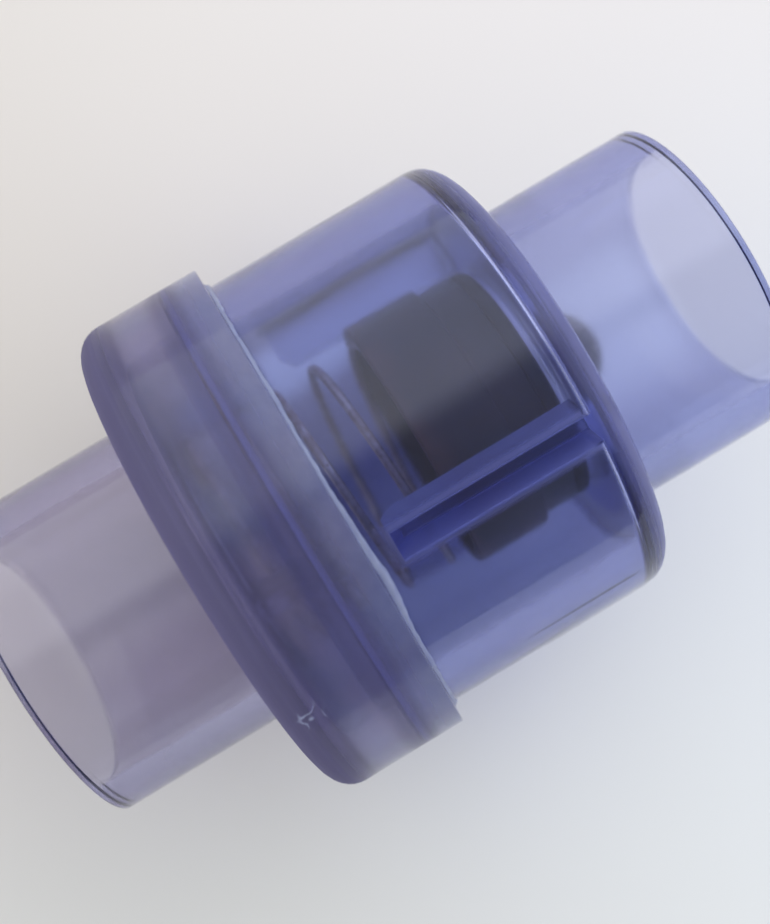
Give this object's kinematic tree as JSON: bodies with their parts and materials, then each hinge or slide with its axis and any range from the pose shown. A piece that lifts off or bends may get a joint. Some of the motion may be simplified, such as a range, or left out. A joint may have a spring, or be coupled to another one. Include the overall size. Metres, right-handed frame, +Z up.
{
  "type": "check valve",
  "caption": "In-line spring-loaded check valve in clear tinted plastic, with a cemented collar, a black poppet and a double socket and spigot end on each side.",
  "frame": {"origin": "on the valve's axis at mid-length, which is the centre of the bounding box", "axes": "+X along the axis from the outlet to the inlet, so water flows towards -X; +Z up with the valve lying on its side; the guide ribs stand 19.2 degrees round from +Z towards -Y and every 120 degrees from there"},
  "size_m": [0.1404, 0.0952, 0.0952],
  "materials": {
    "chamber_pvc": "clear blue-violet tinted PVC, glossy as moulded",
    "cap_pvc": "clear violet-grey tinted PVC, glossy as moulded",
    "cement": "cured solvent cement, milky",
    "poppet_plastic": "black moulded plastic, satin",
    "seal_rubber": "black rubber, matt",
    "retainer_plastic": "dark grey moulded plastic, satin",
    "fastener_steel": "stainless steel, plain",
    "spring_steel": "drawn steel wire, brownish tarnish"
  },
  "bodies": {
    "housing": {"chamber_body": "chamber_pvc", "outlet_cap": "cap_pvc", "cement_joint": "cement", "spring": "spring_steel"},
    "poppet": {"poppet_cup": "poppet_plastic", "seal_disc": "seal_rubber", "seal_retainer": "retainer_plastic", "retainer_washer": "fastener_steel", "retainer_screw": "fastener_steel"}
  },
  "joints": [
    {"name": "poppet_slide", "type": "slide", "parent": "housing", "child": "poppet", "axis": [-1, 0, 0], "range_m": [0, 0.018], "stiffness_N_per_m": 140, "springref_m": -0.01, "deforming": ["spring"]}
  ]
}
